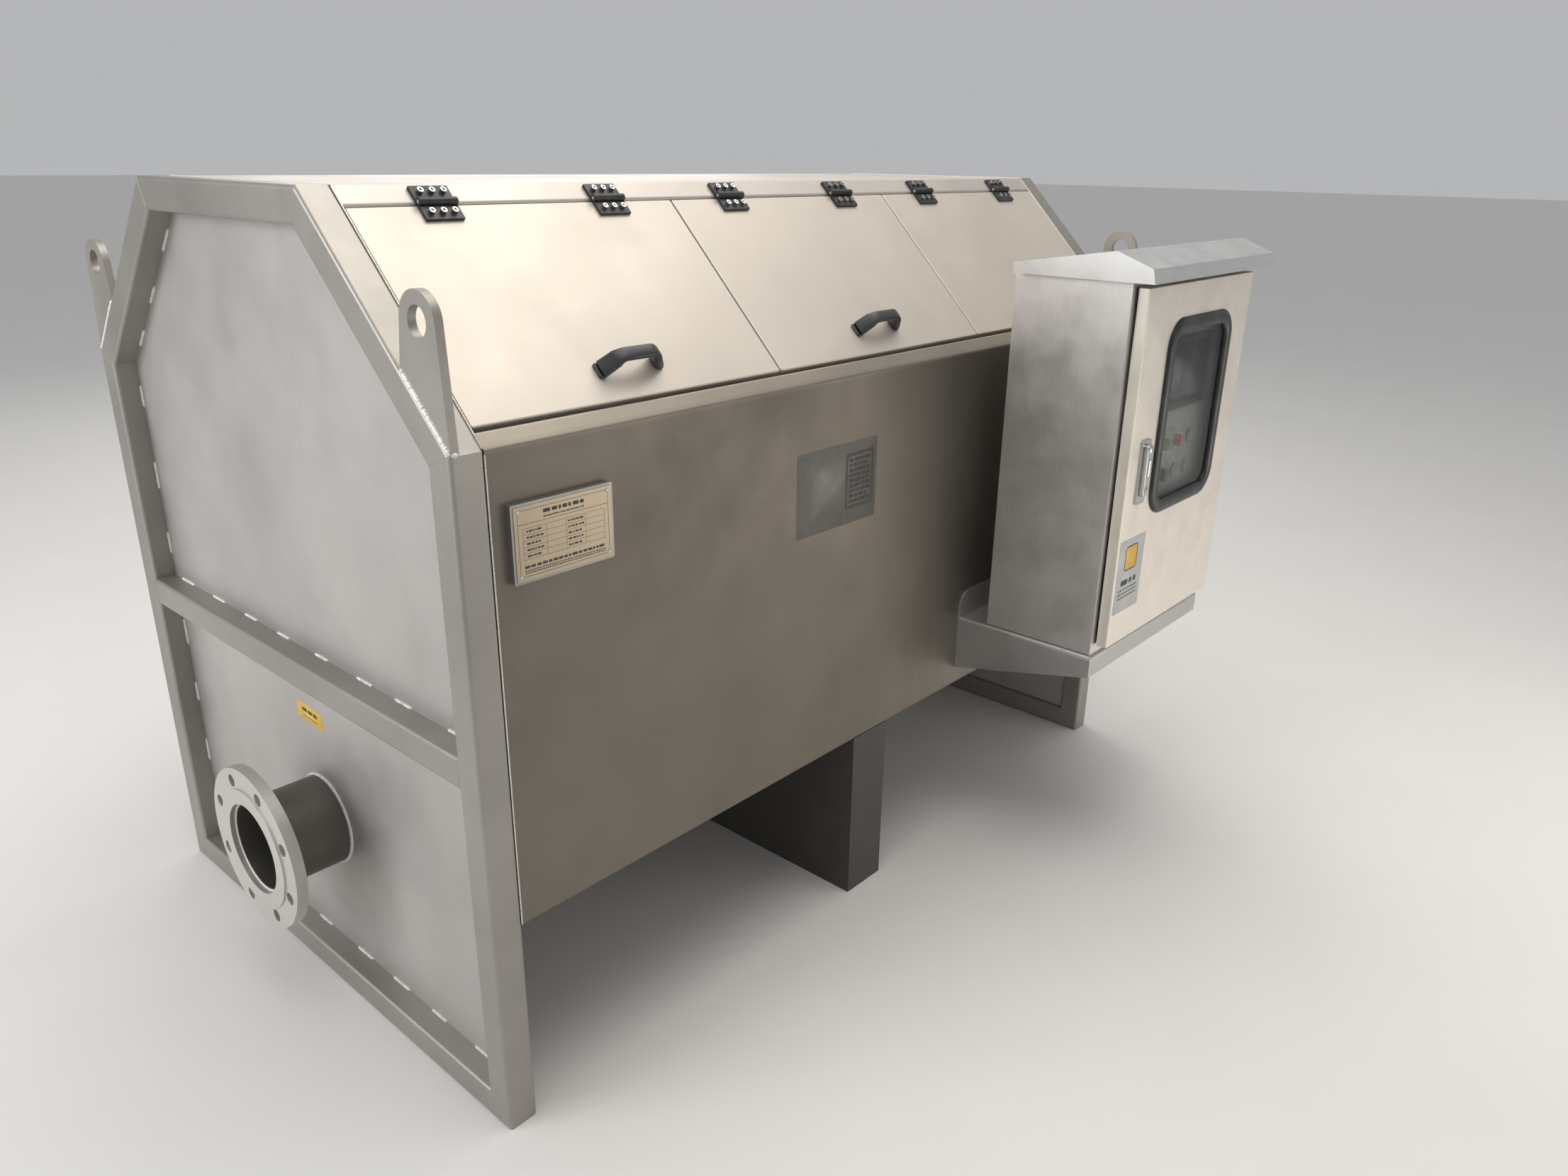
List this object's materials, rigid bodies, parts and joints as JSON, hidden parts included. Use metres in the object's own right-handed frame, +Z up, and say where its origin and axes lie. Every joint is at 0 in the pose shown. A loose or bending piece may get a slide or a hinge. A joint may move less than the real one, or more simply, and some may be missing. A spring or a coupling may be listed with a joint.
{
  "type": "rotary drum filter",
  "caption": "Sheet-steel rotary drum filter between six-sided tube end frames, with hinged sloping covers, flanged pipes, lifting lugs and a roofed control cabinet.",
  "frame": {"origin": "on the floor under the middle of the tank, on the underside of the middle leg's foot", "axes": "+X along the drum from the outlet end to the drive end, -Y out of the front with the covers and cabinet, +Z up"},
  "size_m": [2.01, 1.443, 1.35],
  "materials": {
    "frame_steel": "glass-bead blasted stainless",
    "panel_steel": "glass-bead blasted stainless",
    "shell_steel": "glass-bead blasted stainless, darker",
    "top_steel": "glass-bead blasted stainless",
    "cover_steel": "glass-bead blasted stainless, bright",
    "seat_steel": "mill finish",
    "seal_rubber": "soft black",
    "pipe_steel": "turned and pickled",
    "inner_steel": "mill finish",
    "screen_mesh": "fine woven filter mesh",
    "shaft_steel": "turned",
    "bearing_iron": "painted grey",
    "motor_paint": "blue-grey gloss",
    "hinge_black": "black powder coat",
    "screw_steel": "bright",
    "handle_plastic": "fine texture",
    "cabinet_steel": "ground grain",
    "door_steel": "ground grain",
    "roof_steel": "ground grain",
    "shelf_steel": "mill finish, bluish",
    "latch_chrome": "satin chrome",
    "window_clear": "clear",
    "nameplate_metal": "satin",
    "holder_steel": "ground grain",
    "gland_plastic": "grey",
    "device_plastic": "light grey",
    "control_panel": "grey",
    "screen_glass": "dark display in a black bezel",
    "start_green": "green",
    "stop_red": "red",
    "switch_black": "black"
  },
  "bodies": {
    "housing": {"back_wall": "shell_steel", "bearing_brackets": "inner_steel", "cabinet_body": "cabinet_steel", "cabinet_bolts": "inner_steel", "cabinet_roof": "roof_steel", "cabinet_shelf": "shelf_steel", "cable_glands": "gland_plastic", "control_plate": "control_panel", "cover_gaskets": "seal_rubber", "cover_seat": "seat_steel", "frame_hinge_leaves": "hinge_black", "frame_hinge_screws": "screw_steel", "front_wall": "shell_steel", "gear_motor": "motor_paint", "hinge_pins": "screw_steel", "inlet_nozzle": "pipe_steel", "left_end_frame": "frame_steel", "left_end_panels": "panel_steel", "lifting_lugs": "frame_steel", "middle_leg": "panel_steel", "mounting_plate": "inner_steel", "nameplate": "nameplate_metal", "nameplate_holder": "holder_steel", "outlet_flange": "pipe_steel", "outlet_pipe": "pipe_steel", "right_end_frame": "frame_steel", "right_end_panels": "panel_steel", "roller_bearings": "bearing_iron", "spray_nozzles": "pipe_steel", "spray_pipe": "pipe_steel", "switchgear": "device_plastic", "tank_bottom": "shell_steel", "top_plate": "top_steel", "touch_screen": "screen_glass", "waste_pipe": "pipe_steel", "waste_trough": "inner_steel"},
    "left_cover": {"left_cover": "cover_steel", "left_cover_handle": "handle_plastic", "left_cover_hinge_leaves": "hinge_black", "left_cover_hinge_screws": "screw_steel"},
    "middle_cover": {"middle_cover": "cover_steel", "middle_cover_handle": "handle_plastic", "middle_cover_hinge_leaves": "hinge_black", "middle_cover_hinge_screws": "screw_steel"},
    "right_cover": {"right_cover": "cover_steel", "right_cover_handle": "handle_plastic", "right_cover_hinge_leaves": "hinge_black", "right_cover_hinge_screws": "screw_steel"},
    "cabinet_door": {"cabinet_door": "door_steel", "window_pane": "window_clear", "window_gasket": "seal_rubber", "latch_plate": "latch_chrome"},
    "latch_lever": {"latch_lever": "latch_chrome"},
    "start_button": {"start_button": "start_green"},
    "stop_button": {"stop_button": "stop_red"},
    "mode_switch": {"mode_switch": "switch_black"},
    "drive_shaft": {"drive_shaft": "shaft_steel"},
    "idler_shaft": {"idler_shaft": "shaft_steel"},
    "drum": {"drum_cage": "inner_steel", "drum_screen": "screen_mesh"}
  },
  "joints": [
    {"name": "left_cover_hinge", "type": "hinge", "parent": "housing", "child": "left_cover", "pos_m": [-0.57333, -0.28129, 1.3279], "axis": [-1, 0, 0], "range_deg": [0, 140]},
    {"name": "middle_cover_hinge", "type": "hinge", "parent": "housing", "child": "middle_cover", "pos_m": [0, -0.28129, 1.3279], "axis": [-1, 0, 0], "range_deg": [0, 140]},
    {"name": "right_cover_hinge", "type": "hinge", "parent": "housing", "child": "right_cover", "pos_m": [0.57333, -0.28129, 1.3279], "axis": [-1, 0, 0], "range_deg": [0, 140]},
    {"name": "door_hinge", "type": "hinge", "parent": "housing", "child": "cabinet_door", "pos_m": [0.738, -0.86, 0.85], "axis": [0, 0, 1], "range_deg": [0, 110]},
    {"name": "latch_turn", "type": "hinge", "parent": "cabinet_door", "child": "latch_lever", "pos_m": [0.334, -0.868, 0.899], "axis": [0, 1, 0], "range_deg": [0, 90]},
    {"name": "start_press", "type": "slide", "parent": "housing", "child": "start_button", "axis": [0, 1, 0], "range_m": [0, 0.004], "stiffness_N_per_m": 400},
    {"name": "stop_press", "type": "slide", "parent": "housing", "child": "stop_button", "axis": [0, 1, 0], "range_m": [0, 0.004], "stiffness_N_per_m": 400},
    {"name": "mode_turn", "type": "hinge", "parent": "housing", "child": "mode_switch", "pos_m": [0.47, -0.81, 0.8205], "axis": [0, 1, 0], "range_deg": [-45, 45]},
    {"name": "drum_spin", "type": "hinge", "parent": "housing", "child": "drum", "pos_m": [0, 0, 0.78], "axis": [1, 0, 0], "continuous": true},
    {"name": "drive_spin", "type": "hinge", "parent": "housing", "child": "drive_shaft", "pos_m": [0, -0.26402, 0.40294], "axis": [1, 0, 0], "continuous": true},
    {"name": "idler_spin", "type": "hinge", "parent": "housing", "child": "idler_shaft", "pos_m": [0, 0.26402, 0.40294], "axis": [1, 0, 0], "continuous": true}
  ],
  "couplings": [
    {"joint": "drive_spin", "follows": "drum_spin", "ratio": -8.2},
    {"joint": "idler_spin", "follows": "drum_spin", "ratio": -8.2}
  ]
}
